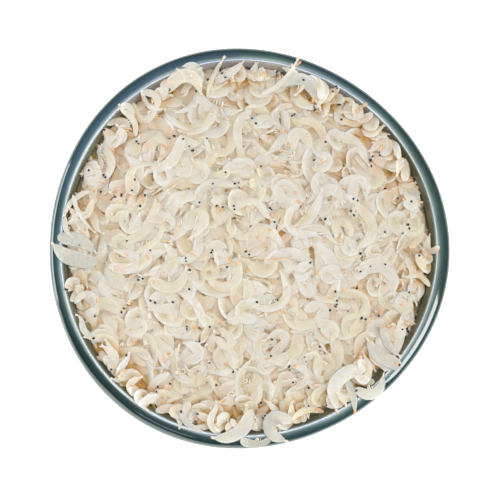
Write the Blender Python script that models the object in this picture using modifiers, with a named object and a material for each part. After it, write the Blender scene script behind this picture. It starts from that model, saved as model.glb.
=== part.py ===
"""Dried baby shrimp heaped in a glazed stoneware bowl.

Units are metres with +Z up. The bowl stands on its foot ring at z = 0 and the
origin is the middle of its bounding box at that level. Two solids: the bowl,
and the heap, which is a smaller core with the shrimp that show fused onto it.
"""
import math
import random

import bmesh
import bpy
from mathutils import Euler, Matrix, Vector
from mathutils.bvhtree import BVHTree

MM = 0.001

# Bowl
RIM_RADIUS = 66.1 * MM           # mean outer radius of the rim
RIM_WIDTH = 4.1 * MM             # from the inner edge of the rim to the outer one
BOWL_HEIGHT = 50.0 * MM
LIP_BOTTOM = 44.9 * MM           # the rolled lip ends at this height on the outside
LIP_UNDERCUT = 0.5 * MM          # the wall tucks in this much below the lip
FLOOR_THICKNESS = 7.5 * MM       # from the ground to the hollow's lowest point
FOOT_RADIUS = 29.5 * MM
FOOT_WIDTH = 4.0 * MM
FOOT_HEIGHT = 4.5 * MM
FOOT_ROUND = 0.6 * MM
FOOT_RECESS = 3.9 * MM           # height of the hollow inside the foot ring
WALL_ROUNDNESS = 2.15            # exponent of the wall's curve, 2 is an ellipse
BOWL_SEGMENTS = 64
INNER_WALL_STEPS = 5
OUTER_WALL_STEPS = 7

# Section of the rim in mm: how far out from its inner edge, how far below its crest
RIM_SECTION = (
    (0.00, 1.4),                 # top of the inner wall
    (0.35, 0.4),
    (1.10, 0.0),                 # crest
    (2.80, 0.8),                 # the broad slope where the glaze pools
    (3.85, 1.8),
    (4.10, 2.8),                 # lip
)

# The hand-thrown rim isn't quite round: three soft lobes that fade to the foot
LOBE_COUNT = 3
LOBE_DEPTH = 0.0155              # of the radius
LOBE_TURN = math.radians(3.3)

# Heap
HEAP_CROWN = 10.5 * MM           # top of the heap above the rim
HEAP_EDGE_DROP = 2.8 * MM        # edge of the heap below the rim
HEAP_SLOPE = 2.2                 # exponent of the dome's profile
CORE_DEPTH = 2.0 * MM            # the core lies this far below the shrimp's tops
CORE_GAP = 0.8 * MM              # from the core to the bowl's wall
CORE_SEGMENTS = 36
CORE_TOP_RINGS = 5
CORE_WALL_RINGS = 8
CORE_SHOULDER = 1.0 * MM         # the core's upper edge is set in and worn by this
CORE_BUMP = 0.5 * MM
CLEARANCE = 0.35 * MM            # least gap from a shrimp to the bowl

# Shrimp, measured along the curl of the body
SHRIMP_LENGTH = 20.5 * MM
LENGTH_SPREAD = 0.16             # of the length, either way
BODY_FLATNESS = 0.5              # thickness against width
HEAP_SHRIMP = 116
HEAP_SEED = 135
TILT_SPREAD = math.radians(13)
LOWEST_LIFT = 0.5 * MM           # middle of a shrimp above the core
HIGHEST_LIFT = 1.7 * MM
BEARING_SPREAD = 0.04            # radians off the even spiral, either way
GOLDEN_ANGLE = math.pi * (3 - math.sqrt(5))
MOVE_STEP = 1.0 * MM             # a shrimp too near the wall moves in by steps
MOVE_STEPS = 12
RAISE_STEP = 0.1 * MM            # one over the rim rises by steps until it clears
RAISE_STEPS = 40
HEAP_THINNING = 0.58             # share of the fused heap's triangles that is kept

# Half the body's width along it, both as shares of the length
BODY_WIDTHS = (
    (0.00, 0.030),               # snout
    (0.14, 0.108),
    (0.36, 0.126),               # widest part of the head shield
    (0.62, 0.094),
    (0.87, 0.044),               # wrist of the tail
    (1.00, 0.072),               # tail fan
)

# How far the body turns from head to tail, in degrees, and how far it bends back
CURLS = (
    (70, 0),
    (120, 0),
    (165, 0),
    (205, 0),
    (240, 0),
    (95, -120),
)
HEAD_SHARE = 0.15                # the head before this share of the length is straight
LINE_STEPS = 200

# Shrimp that reach over the rim: head and tail, each as a bearing in degrees from
# +X and a distance in mm from the bowl's axis, the curl (index into CURLS) and
# which way the body bends, 1 to the left and -1 to the right
RIM_SHRIMP = (
    ((179, 63.2), (183, 46.5), 0, 1),
    ((188, 48.0), (182, 63.9), 0, 1),
    ((273, 50.6), (260, 64.3), 1, -1),
    ((267, 59.2), (278, 58.8), 2, 1),
    ((286, 55.5), (281, 65.4), 3, 1),
    ((309, 50.1), (303, 64.6), 0, -1),
    ((309, 57.4), (317, 61.1), 3, 1),
    ((322, 64.4), (322, 48.0), 0, 1),
    ((328, 46.0), (327, 61.7), 0, 1),
    ((105, 52.5), (112, 64.2), 2, 1),
    ((109, 49.1), (107, 62.8), 1, -1),
    ((109, 51.2), (97, 63.7), 0, -1),
    ((86, 50.8), (75, 64.5), 0, 1),
)
RIM_LEAN = math.radians(3)       # these rise outwards, to clear the rim


def material(name, colour, roughness):
    """A plain Principled BSDF finish."""
    mat = bpy.data.materials.new(name)
    mat.use_nodes = True
    shader = mat.node_tree.nodes["Principled BSDF"]
    shader.inputs["Base Color"].default_value = (*colour, 1)
    shader.inputs["Roughness"].default_value = roughness
    shader.inputs["Metallic"].default_value = 0
    return mat


def add_object(name, mesh, collection):
    obj = bpy.data.objects.new(name, mesh)
    collection.objects.link(obj)
    return obj


def evaluated_mesh(obj):
    """The object's mesh with its modifiers or bevel applied."""
    bpy.context.view_layer.update()
    depsgraph = bpy.context.evaluated_depsgraph_get()
    return bpy.data.meshes.new_from_object(obj.evaluated_get(depsgraph))


def lobes(bearing, height):
    """How much wider or narrower the bowl is at a bearing and a height."""
    share = min(max(height / BOWL_HEIGHT, 0), 1)
    fade = share * share * (3 - 2 * share)
    return 1 + LOBE_DEPTH * fade * math.cos(LOBE_COUNT * (bearing + LOBE_TURN))


def rim_point(bearing):
    """The rim's outer edge, seen from above, about the bowl's axis."""
    radius = RIM_RADIUS * lobes(bearing, BOWL_HEIGHT)
    return Vector((radius * math.cos(bearing), radius * math.sin(bearing), 0))


def bowl_axis():
    """Where the axis stands so that the middle of the rim's box is the origin."""
    rim = [rim_point(math.tau * i / BOWL_SEGMENTS) for i in range(BOWL_SEGMENTS)]
    middle_x = (max(p.x for p in rim) + min(p.x for p in rim)) / 2
    middle_y = (max(p.y for p in rim) + min(p.y for p in rim)) / 2
    return Vector((-middle_x, -middle_y, 0))


def wall_curve(foot_radius, foot_z, top_radius, top_z, steps):
    """Points of a rounded wall from its foot up to its top."""
    points = []
    for i in range(steps + 1):
        turn = math.pi / 2 * i / steps
        out = math.sin(turn) ** (2 / WALL_ROUNDNESS)
        down = max(math.cos(turn), 0) ** (2 / WALL_ROUNDNESS)
        radius = foot_radius + (top_radius - foot_radius) * out
        points.append((radius, top_z - (top_z - foot_z) * down))
    return points


def hollow_curve(gap, top_z, steps):
    """The bowl's hollow, a gap inside its glaze, from the axis to top_z."""
    inner_radius = RIM_RADIUS - RIM_WIDTH - gap
    return wall_curve(0, FLOOR_THICKNESS + gap, inner_radius, top_z, steps)


def bowl_profile():
    """Half section of the bowl: up the inside, over the rim, down the outside."""
    inner_radius = RIM_RADIUS - RIM_WIDTH
    rim = [(inner_radius + out * MM, BOWL_HEIGHT - drop * MM) for out, drop in RIM_SECTION]
    inside = hollow_curve(0, rim[0][1], INNER_WALL_STEPS)
    outside = wall_curve(FOOT_RADIUS, FOOT_HEIGHT, RIM_RADIUS - LIP_UNDERCUT,
                         LIP_BOTTOM, OUTER_WALL_STEPS)
    foot_inner = FOOT_RADIUS - FOOT_WIDTH
    foot = [
        (FOOT_RADIUS, FOOT_ROUND),
        (FOOT_RADIUS - FOOT_ROUND, 0),
        (foot_inner + FOOT_ROUND, 0),
        (foot_inner, FOOT_ROUND),
        (foot_inner - FOOT_ROUND, FOOT_RECESS - FOOT_ROUND),
        (0, FOOT_RECESS),
    ]
    return inside + rim[1:] + outside[::-1] + foot


def turned_mesh(name, profile, segments, collection):
    """A profile of (radius, z) points turned about the axis with a Screw."""
    mesh = bpy.data.meshes.new(name + " profile")
    bm = bmesh.new()
    verts = [bm.verts.new((radius, 0, z)) for radius, z in profile]
    for first, second in zip(verts, verts[1:]):
        bm.edges.new((first, second))
    bm.to_mesh(mesh)
    bm.free()
    turner = add_object(name + " profile", mesh, collection)
    screw = turner.modifiers.new("Turn", "SCREW")
    screw.steps = segments
    screw.render_steps = segments
    screw.use_merge_vertices = True
    screw.merge_threshold = 0.00001
    turned = evaluated_mesh(turner)
    turned.name = name
    bpy.data.objects.remove(turner)
    return turned


def triangulate(mesh):
    """Flat triangles only, so that fusing makes no bent faces."""
    bm = bmesh.new()
    bm.from_mesh(mesh)
    bmesh.ops.triangulate(bm, faces=bm.faces)
    bm.to_mesh(mesh)
    bm.free()


def shape_to_lobes(mesh, axis):
    """Give a turned mesh the rim's lobes and stand it on the bowl's axis."""
    for vert in mesh.vertices:
        bearing = math.atan2(vert.co.y, vert.co.x)
        factor = lobes(bearing, vert.co.z)
        vert.co = Vector((vert.co.x * factor, vert.co.y * factor, vert.co.z)) + axis


def build_bowl(collection, axis):
    mesh = turned_mesh("bowl", bowl_profile(), BOWL_SEGMENTS, collection)
    shape_to_lobes(mesh, axis)
    mesh.materials.clear()
    mesh.materials.append(material("Teal glazed stoneware", (0.03, 0.075, 0.085), 0.12))
    mesh.shade_smooth()
    mesh.set_sharp_from_angle(angle=math.radians(40))
    return add_object("bowl", mesh, collection)


def heap_height(radius):
    """Level of the shrimp's tops at a distance from the axis."""
    edge = RIM_RADIUS - RIM_WIDTH
    fall = (HEAP_CROWN + HEAP_EDGE_DROP) * (radius / edge) ** HEAP_SLOPE
    return BOWL_HEIGHT + HEAP_CROWN - fall


def build_core(collection, axis):
    """The body of the heap under the shrimp that show."""
    edge = RIM_RADIUS - RIM_WIDTH - CORE_GAP
    dome = []
    for i in range(CORE_TOP_RINGS):
        radius = edge * i / CORE_TOP_RINGS
        dome.append((radius, heap_height(radius) - CORE_DEPTH))
    edge_z = heap_height(edge) - CORE_DEPTH
    wall_top = BOWL_HEIGHT - RIM_SECTION[0][1] * MM
    hollow = hollow_curve(CORE_GAP, wall_top, CORE_WALL_RINGS)
    side = [point for point in hollow if point[1] < edge_z - CORE_SHOULDER]
    profile = dome + [(edge - CORE_SHOULDER, edge_z)] + side[::-1]
    mesh = turned_mesh("shrimp_heap", profile, CORE_SEGMENTS, collection)
    draw = random.Random(HEAP_SEED)
    for vert in mesh.vertices:
        if vert.co.z > edge_z + CORE_SHOULDER:
            vert.co.z += draw.uniform(-CORE_BUMP, CORE_BUMP)
    shape_to_lobes(mesh, axis)
    triangulate(mesh)
    mesh.materials.clear()
    return add_object("shrimp_heap", mesh, collection)


def body_line(curl, bend_back):
    """Middle line of a curled body of length 1, as points with half widths."""
    point = Vector((0, 0, 0))
    line = [point.copy()]
    for i in range(LINE_STEPS):
        along = (i + 0.5) / LINE_STEPS
        curling = max((along - HEAD_SHARE) / (1 - HEAD_SHARE), 0)
        heading = math.radians(curl * curling + bend_back * curling ** 3)
        point += Vector((math.cos(heading), math.sin(heading), 0)) / LINE_STEPS
        line.append(point.copy())
    centre = sum(line, Vector()) / len(line)
    return [(line[round(along * LINE_STEPS)] - centre, width) for along, width in BODY_WIDTHS]


def shrimp_mesh(index, collection):
    """A curled, flattened body of length 1 with a tapered tail and its fan."""
    curve = bpy.data.curves.new("Shrimp line %d" % index, "CURVE")
    curve.dimensions = "3D"
    curve.bevel_depth = 1.0
    curve.bevel_resolution = 1
    curve.use_fill_caps = True
    stations = body_line(*CURLS[index])
    spline = curve.splines.new("POLY")
    spline.points.add(len(stations) - 1)
    for spline_point, (place, width) in zip(spline.points, stations):
        spline_point.co = (*place, 1)
        spline_point.radius = width
    tube = add_object("Shrimp line %d" % index, curve, collection)
    mesh = evaluated_mesh(tube)
    bpy.data.objects.remove(tube)
    mesh.name = "Shrimp %d" % index
    bm = bmesh.new()
    bm.from_mesh(mesh)
    bmesh.ops.remove_doubles(bm, verts=bm.verts, dist=0.0001)
    bmesh.ops.scale(bm, verts=bm.verts, vec=(1, 1, BODY_FLATNESS))
    bmesh.ops.recalc_face_normals(bm, faces=bm.faces)
    bm.to_mesh(mesh)
    bm.free()
    triangulate(mesh)
    mesh.materials.clear()
    return mesh


def probe_points(mesh, placing):
    """Corners and edge middles of a placed mesh."""
    corners = [placing @ vert.co for vert in mesh.vertices]
    middles = [(corners[a] + corners[b]) / 2 for a, b in (e.vertices for e in mesh.edges)]
    return corners + middles


def clears_bowl(points, guard, axis):
    """Whether a shrimp keeps its gap to the bowl and isn't outside its wall."""
    for point in points:
        near, normal, _face, distance = guard.find_nearest(point)
        if distance < CLEARANCE or (point - near).dot(normal) < 0:
            return False
        reach = (point - axis).xy.length
        if point.z < BOWL_HEIGHT and reach > RIM_RADIUS - RIM_WIDTH:
            return False
    return True


def lean_outwards(bearing, angle):
    """Rotation that raises the side away from the bowl's axis."""
    return Matrix.Rotation(-angle, 4, Vector((-math.sin(bearing), math.cos(bearing), 0)))


def side_up(side):
    """Rotation that turns over a body, so that it bends the other way."""
    return Matrix.Rotation(0 if side > 0 else math.pi, 4, "X")


def heap_slope(reach):
    """Slope of the dome at a distance from the axis, negative outwards."""
    step = 0.5 * MM
    inner = max(reach - step, 0)
    return (heap_height(reach + step) - heap_height(inner)) / (reach + step - inner)


def placing_on_heap(bearing, reach, heading, side, length, lift, tilt):
    """Matrix that lays a shrimp on the dome, about the bowl's axis."""
    place = Vector((reach * math.cos(bearing), reach * math.sin(bearing), 0))
    place.z = heap_height(reach) - CORE_DEPTH + lift
    lean = lean_outwards(bearing, math.atan(heap_slope(reach)))
    turn = Euler((*tilt, heading)).to_matrix().to_4x4()
    return Matrix.Translation(place) @ lean @ turn @ side_up(side) @ Matrix.Scale(length, 4)


def placing_over_rim(head, tail, curl, side, height):
    """Matrix that puts a shrimp's head and tail over two places of the rim."""
    head_place, tail_place = (polar_point(*end) for end in (head, tail))
    line = body_line(*CURLS[curl])
    head_end = side_up(side) @ line[0][0]
    tail_end = side_up(side) @ line[-1][0]
    span = tail_end - head_end
    wanted = tail_place - head_place
    heading = math.atan2(wanted.y, wanted.x) - math.atan2(span.y, span.x)
    length = wanted.length / span.length
    turn = Matrix.Rotation(heading, 4, "Z")
    middle = (head_place + tail_place) / 2 - turn @ (head_end + tail_end) * (length / 2)
    lean = lean_outwards(math.atan2(middle.y, middle.x), RIM_LEAN)
    middle.z = height
    return Matrix.Translation(middle) @ lean @ turn @ side_up(side) @ Matrix.Scale(length, 4)


def polar_point(bearing_degrees, reach_mm):
    bearing = math.radians(bearing_degrees)
    return Vector((math.cos(bearing), math.sin(bearing), 0)) * reach_mm * MM


def lay_shrimp(shapes, guard, axis, collection):
    """Spread shrimp evenly over the dome, moved in or left out at the wall."""
    draw = random.Random(HEAP_SEED + 1)
    edge = RIM_RADIUS - RIM_WIDTH - CORE_GAP
    for i in range(HEAP_SHRIMP):
        bearing = i * GOLDEN_ANGLE + draw.uniform(-BEARING_SPREAD, BEARING_SPREAD)
        reach = edge * math.sqrt((i + 0.5) / HEAP_SHRIMP)
        heading = draw.uniform(0, math.tau)
        side = draw.choice((-1, 1))
        length = SHRIMP_LENGTH * (1 + draw.uniform(-LENGTH_SPREAD, LENGTH_SPREAD))
        lift = draw.uniform(LOWEST_LIFT, HIGHEST_LIFT)
        tilt = (draw.uniform(-1, 1) * TILT_SPREAD, draw.uniform(-1, 1) * TILT_SPREAD)
        mesh = draw.choice(shapes)
        for _attempt in range(MOVE_STEPS):
            placing = placing_on_heap(bearing, reach, heading, side, length, lift, tilt)
            placing = Matrix.Translation(axis) @ placing
            if clears_bowl(probe_points(mesh, placing), guard, axis):
                shrimp = add_object("Shrimp", mesh, collection)
                shrimp.matrix_world = placing
                break
            reach -= MOVE_STEP


def lay_rim_shrimp(shapes, guard, axis, collection):
    """Shrimp that reach over the rim, raised until they clear it."""
    for head, tail, curl, side in RIM_SHRIMP:
        for step in range(RAISE_STEPS):
            height = BOWL_HEIGHT + step * RAISE_STEP
            placing = placing_over_rim(head, tail, curl, side, height)
            placing = Matrix.Translation(axis) @ placing
            if clears_bowl(probe_points(shapes[curl], placing), guard, axis):
                shrimp = add_object("Rim shrimp", shapes[curl], collection)
                shrimp.matrix_world = placing
                break


def keep_main_body(mesh):
    """Drop loose scraps and fill sealed hollows: only the outer shell stays."""
    bm = bmesh.new()
    bm.from_mesh(mesh)
    unseen = set(bm.verts)
    shells = []
    while unseen:
        front = [unseen.pop()]
        shell = set(front)
        while front:
            vert = front.pop()
            for edge in vert.link_edges:
                other = edge.other_vert(vert)
                if other in unseen:
                    unseen.remove(other)
                    shell.add(other)
                    front.append(other)
        shells.append(shell)
    main = max(shells, key=len)
    loose = [vert for vert in bm.verts if vert not in main]
    bmesh.ops.delete(bm, geom=loose, context="VERTS")
    bm.to_mesh(mesh)
    bm.free()
    triangulate(mesh)


def build_heap(collection, axis, bowl):
    core = build_core(collection, axis)
    pieces = bpy.data.collections.new("Shrimp to fuse")
    bpy.context.scene.collection.children.link(pieces)
    shapes = [shrimp_mesh(index, collection) for index in range(len(CURLS))]
    bm = bmesh.new()
    bm.from_mesh(bowl.data)
    guard = BVHTree.FromBMesh(bm)
    bm.free()
    lay_shrimp(shapes, guard, axis, pieces)
    lay_rim_shrimp(shapes, guard, axis, pieces)
    fuse = core.modifiers.new("Fuse shrimp", "BOOLEAN")
    fuse.operation = "UNION"
    fuse.operand_type = "COLLECTION"
    fuse.collection = pieces
    fuse.solver = "MANIFOLD"
    fused = evaluated_mesh(core)
    core.modifiers.clear()
    core.data = fused
    for obj in list(pieces.objects):
        bpy.data.objects.remove(obj)
    bpy.data.collections.remove(pieces)
    keep_main_body(fused)
    fused.materials.clear()
    fused.materials.append(material("Dried shrimp", (0.74, 0.66, 0.53), 0.6))
    fused.shade_smooth()
    fused.set_sharp_from_angle(angle=math.radians(50))
    thin = core.modifiers.new("Thin out", "DECIMATE")
    thin.ratio = HEAP_THINNING


def main():
    for obj in list(bpy.data.objects):
        bpy.data.objects.remove(obj)
    collection = bpy.data.collections.new("Bowl of dried baby shrimp")
    bpy.context.scene.collection.children.link(collection)
    axis = bowl_axis()
    bowl = build_bowl(collection, axis)
    build_heap(collection, axis, bowl)


main()
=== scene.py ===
"""Looks of a glazed bowl heaped with dried baby shrimp.

Lengths are in metres and +Z is up. The bowl stands at z = 0 with the middle of its
rim over the origin, +X is the photograph's right and +Y its top.
"""
import math
import random

import bmesh
import bpy
from mathutils import Matrix, Vector


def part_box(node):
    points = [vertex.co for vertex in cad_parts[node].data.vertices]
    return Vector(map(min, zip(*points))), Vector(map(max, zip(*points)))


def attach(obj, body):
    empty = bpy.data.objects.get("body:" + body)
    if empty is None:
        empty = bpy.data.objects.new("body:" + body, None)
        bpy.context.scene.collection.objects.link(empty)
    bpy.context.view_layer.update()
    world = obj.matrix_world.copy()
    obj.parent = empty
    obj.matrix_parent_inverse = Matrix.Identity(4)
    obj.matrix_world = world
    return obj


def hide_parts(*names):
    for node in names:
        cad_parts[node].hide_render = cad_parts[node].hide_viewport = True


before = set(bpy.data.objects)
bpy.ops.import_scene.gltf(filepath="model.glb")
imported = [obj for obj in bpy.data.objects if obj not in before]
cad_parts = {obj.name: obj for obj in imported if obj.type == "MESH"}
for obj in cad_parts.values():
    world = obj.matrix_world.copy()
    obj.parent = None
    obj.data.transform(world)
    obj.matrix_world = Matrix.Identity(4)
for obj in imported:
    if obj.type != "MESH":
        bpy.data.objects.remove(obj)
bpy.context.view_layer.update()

MM = 0.001
BODY = "root"

# Bowl, the same driving sizes as the solid's
BOWL_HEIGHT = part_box("bowl")[1].z
RIM_RADIUS = 66.1 * MM  # mean outer radius of the rim
RIM_WIDTH = 6.0 * MM  # from the inner edge of the rim to the outer one
LIP_BOTTOM = 44.9 * MM  # the rolled lip ends at this height on the outside
LIP_UNDERCUT = 0.5 * MM
FLOOR_THICKNESS = 7.5 * MM
FOOT_RADIUS = 29.5 * MM
FOOT_WIDTH = 4.0 * MM
FOOT_HEIGHT = 4.5 * MM
FOOT_ROUND = 0.6 * MM
FOOT_RECESS = 3.9 * MM
WALL_ROUNDNESS = 2.15  # exponent of the wall's curve, 2 is an ellipse
WALL_STEPS = 22
RIM_STEPS = 5  # points between two named points of the rim
BOWL_SEGMENTS = 168
MERGE_DISTANCE = 0.01 * MM

# Section of the rim in mm: how far out from its inner edge, how far below its crest
RIM_SECTION = (
    (0.00, 3.2),
    (0.60, 1.9),
    (1.20, 0.5),
    (1.95, 0.0),
    (4.40, 0.7),
    (5.70, 1.8),
    (6.00, 2.8),
)

# The hand-thrown rim isn't quite round: three soft lobes that fade to the foot
LOBE_COUNT = 3
LOBE_DEPTH = 0.0155
LOBE_TURN = math.radians(3.3)
RIM_WANDER = 0.32 * MM  # the crest keeps this far inside the lobes

# Glaze: the stretch of the section that its colours cover, in mm from the crest outwards
GLAZE_STRETCH = (-4.0, 8.0)
GLAZE_DRIFT = 1.2  # how far its bands drift up and down, in mm
DRIFT_SIZE = 16.667 * MM
BLOTCH_SIZE = 41.667 * MM

# Tints of the glaze, two of them painted light: the side of the bowl as a bearing in
# degrees, where each rises and falls as shares of the stretch, its colour and its strength
GLAZE_TINTS = (
    (90, (-1.0, 0.0), (0.265, 0.285), "#A39A90", 1.0),  # painted light: the inner wall paler on its lit upper side
    (138, (0.37, 0.42), (0.51, 0.60), "#1E3A54", 0.55),  # bluer pool
    (232, (0.37, 0.42), (0.58, 0.62), "#0D1D20", 0.75),  # painted reflection: the pool darker on the dim side of the studio
    (232, (0.58, 0.62), (0.78, 0.88), "#767E76", 0.8),  # paler outer edge
)
TINT_SIDE = (38 * MM, 60 * MM)  # how far out on its side a tint starts, and is full

# Heap
HEAP_RISE = 10.5 * MM  # top of the heap above the rim
HEAP_EDGE_DROP = 2.8 * MM  # edge of the heap below the rim
HEAP_SLOPE = 2.2  # exponent of the dome's profile
CORE_DEPTH = 4.2 * MM  # the core lies this far below the shrimp's tops
CORE_EDGE_DEPTH = 1.6 * MM  # and this far at the wall
CORE_EDGE_POWER = 10  # how late it comes up towards the wall
CORE_GAP = 0.15 * MM

# Where the wall shows beside the heap: middle and half width in degrees, and gap in mm
WALL_GAPS = (
    (348, 13, 1.6),
    (14, 14, 1.2),
    (92, 16, 1.3),
    (155, 13, 1.2),
    (242, 6, 0.8),
    (272, 7, 1.1),
    (332, 8, 1.1),
)

CORE_RINGS = 30
CORE_SEGMENTS = 96
CORE_BEARING = 0.8  # in radians, clear of the gaps: the core is turned to this profile
CORE_RELIEF = 1.3 * MM
CORE_TOP_BAND = 0.5 * MM  # points this near to the core's dome get the relief
CORE_WALL_DROP = 1.0 * MM  # and its wall ends this far below the edge of the dome
CORE_SHADE = (55.0 * MM, 58.6 * MM)  # where the wall's painted shade starts on the core and is full
CORE_PATCH = 3.846 * MM

HEAP_SEED = 7
HEAP_SHRIMP = 1300  # tries, of which those that would stand too high are left out
HEAP_REACH = 61.0 * MM  # the loose shrimp stay inside this reach
HEAP_FIRMNESS = 0.38  # share of a loose shrimp that stays clear of those below
PROUD_MOST = 1.0 * MM  # how far a shrimp may stand above the dome
PLACE_TRIES = 9  # the emptiest of so many places is taken
PLACE_REACH = 0.985 * HEAP_REACH
PLACE_AROUND = (0, 1.257, 2.513, 3.770, 5.027)  # bearings round a place, in radians
PLACE_SPAN = 3 * MM
ROLL_SPREAD = 8  # degrees
STEEP_SHARE = 0.14  # of the shrimp, which lie on one edge
STEEP_ROLL = (35, 70)
INWARD_STEP = 0.6 * MM  # a shrimp that crosses the wall moves in by this
INWARD_TRIES = 22

EDGE_SHRIMP = 170  # small ones that fill the edge, against the wall
EDGE_REACH = 61.4 * MM
EDGE_WANDER = (-2.0, 1.0)  # mm from that reach
EDGE_SIZE = 0.72
EDGE_STEP = 0.4 * MM
EDGE_TRIES = 18

CELL = 0.7 * MM  # grid that holds the level of the heap
GRID_REACH = 72 * MM
SMOOTH_CELLS = 3  # to either side, for the level's mean
SETTLE_STEP = 0.55 * MM  # a laid shrimp raises the level at points this far apart
SLOPE_STIFFNESS = 1.5 * MM  # keeps a narrow shrimp from tipping steeply
SAG_SHARE = 0.9  # how closely a shrimp follows what it lies on
SAG_MOST = 2.2 * MM
RIM_CLEARANCE = 0.3 * MM
SHOWN_DEPTH = 0.4 * MM  # a point shows if no more than this lies over it
SHADE_DEPTH = 2.6 * MM  # a shell this far below those around it is all in shade

# Shrimp, measured along the curl of the body
SHRIMP_LENGTH = 17.2 * MM
LENGTH_SPREAD = 0.20  # of the length, either way
BREADTH_SPREAD = 0.28
FLATNESS = 0.15  # thickness against width
BODY_SIDES = 6
PATH_STEPS = 14
BEND_AT = (0.38, 0.56)  # share of the body at which it bends
BEND_OVER = 0.8  # share of it that the bend takes up in those at the rim
EVEN_BEND = 0.35  # share of the turn that is spread evenly over the bend
BACK_FROM = 0.6  # where a body that bends back starts to
TIGHTEST = 0.8  # how near its inner edge comes to the bend's centre, 1 is on it
RUFFLE = (0, 0.4)  # lengthwise waves of the edges, against the half width
RIM_RUFFLE = (0.2, 0.5)
BLUSH_BLOT = (0.15, 0.1, 0.13)  # place along and across, and half length
GUT_BLOT = (0.4, -0.3, 0.24)

# Half the body's width along it, both as shares of the length
BODY_WIDTHS = (
    (0.00, 0.030),  # snout
    (0.05, 0.080),
    (0.16, 0.122),  # head shield
    (0.32, 0.140),
    (0.50, 0.142),
    (0.66, 0.130),
    (0.80, 0.102),
    (0.92, 0.058),  # wrist of the tail
    (1.00, 0.022),
)

# Patterns of the shell, in mm along the body and across it
CLOUD_SIZE = (1.323, 1.437)  # milky patches
FIBRE_SIZE = (3.44, 0.488)  # dried flesh under the shell, drawn as coarse as shows
FOLD_SIZE = (2.867, 0.698)  # wrinkles from drying
RING_SPACING = 1.743
PATTERN_SHIFT = 90.0  # by the tone, so that no two shrimp share a pattern
SHELL_LAYERS = ("along", "across", "tone", "depth", "blush", "gut")

# Details on the bodies. Places are shares of the body's length and half width, angles are
# in degrees from the way to the tail, and two values are the least and most of a draw
BELLY = -0.75
FAN_PLACE = 0.94
LEAF_SIZE = 0.1 * MM  # half the thickness of a tail blade or swimming leg
MARK_SHARE = 0.55  # of the shrimp
MARK_THICKNESS = 0.12  # mm
WHISKER_SHARE = 0.14  # of those with a mark
WHISKER_LENGTH = (4, 9)  # mm
WHISKER_MARGIN = 9 * MM  # none grows this near to the edge of the heap
LONG_WHISKER_BREADTH = 0.17  # mm
EYE_SIZE = 0.41 * MM  # half its width
EYE_SHARE = 0.30  # of the shrimp show an eye
SECOND_EYE_SHARE = 0.34  # and this share of them both
LEG_SHARE = 0.28  # of the shrimp that show, with a comb of legs
FEELER_SHARE = 0.35  # of those, with a whisker too
HAIR_SIZE = 0.07 * MM  # half the thickness of a leg

# Half the width of a blade of the tail fan, and of a leg or whisker, along them
BLADE_WIDTHS = ((0.0, 0.4), (0.35, 0.85), (0.7, 1.0), (1.0, 0.2))
HAIR_WIDTHS = ((0.0, 1.0), (0.25, 1.0), (0.5, 0.85), (0.75, 0.65), (1.0, 0.3))

# Kinds of curl: share of the shrimp, least and most turn in degrees, bend back, the
# least and most share of the body that the bend takes up, and the breadth
CURL_KINDS = {
    "gentle": (0.11, 40, 95, 0, 0.6, 1.0, 0.85),
    "crescent": (0.22, 95, 160, 0, 0.45, 0.75, 0.9),
    "hook": (0.30, 160, 200, 0, 0.34, 0.54, 1.12),
    "curl": (0.28, 200, 250, 0, 0.40, 0.60, 1.3),
    "wave": (0.09, 80, 130, -110, 0.5, 0.8, 0.9),
}

# Shrimp at the rim that show best, those of the solid first: kind, head and tail, each
# as a bearing in degrees and a distance in mm from the axis, the turn, the share of the
# body at which it bends, 1 for a bend to the left and -1 to the right, the breadth, and
# the tone of the shell
RIM_SHRIMP = (
    ("gentle", (177.0, 62.6), (182.0, 50.0), 38, 0.5, -1, 1.5, 0.03),
    ("gentle", (185.5, 49.5), (179.3, 63.8), 44, 0.5, -1, 1.45, 0.02),
    ("crescent", (271.5, 53.0), (259.8, 63.4), 74, 0.55, -1, 1.15, 0.06),
    ("crescent", (267.4, 62.4), (277.6, 61.8), 90, 0.5, 1, 1.0, 0.0),
    ("hook", (284.2, 58.6), (280.8, 64.6), 190, 0.45, 1, 1.3, 0.03),
    ("gentle", (307.0, 51.0), (303.0, 64.5), 25, 0.5, -1, 0.75, 0.0),
    ("hook", (307.2, 57.6), (316.6, 60.9), 128, 0.45, 1, 1.1, 0.04),
    ("gentle", (322.3, 64.0), (322.5, 49.5), 42, 0.6, -1, 1.4, 0.04),
    ("gentle", (330.5, 50.5), (324.5, 61.2), 40, 0.5, 1, 0.9, 0.02),
    ("hook", (106.6, 56.0), (109.6, 63.4), 108, 0.5, 1, 1.4, 0.15),
    ("hook", (117.8, 57.6), (107.2, 53.0), 140, 0.5, -1, 1.25, 0.98),
    ("gentle", (105.0, 51.5), (97.2, 63.0), 24, 0.5, -1, 0.5, 0.95),
    ("gentle", (85.0, 50.5), (75.2, 64.2), 40, 0.5, 1, 0.5, 0.15),
    ("hook", (78.8, 54.2), (63.5, 52.2), 116, 0.36, -1, 1.0, 0.03),
    ("crescent", (314.2, 55.6), (298.5, 60.4), 100, 0.45, 1, 1.1, 0.4),
    ("gentle", (163.2, 60.0), (174.0, 50.5), 40, 0.5, 1, 0.42, 0.15),
    ("crescent", (170.6, 60.6), (177.0, 57.4), 60, 0.5, 1, 0.9, 0.06),
    ("gentle", (111.0, 57.4), (111.9, 63.6), 50, 0.5, 1, 0.8, 0.15),
    ("gentle", (247.5, 57.8), (256.0, 62.0), 50, 0.5, 1, 0.9, 0.05),
)

# Long orange whiskers on the heap: from one place to another, and their bow, all in mm
LONG_WHISKERS = (
    ((-11.2, -6.6), (-4.6, -5.0), 0.3),
    ((-2.0, -3.9), (14.0, -3.4), 0.9),
    ((-21.3, -1.6), (-16.3, -4.3), -0.5),
    ((22.0, -24.5), (27.0, -31.0), 0.8),
    ((-31.5, 16.5), (-27.0, 11.0), -0.8),
)

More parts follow.
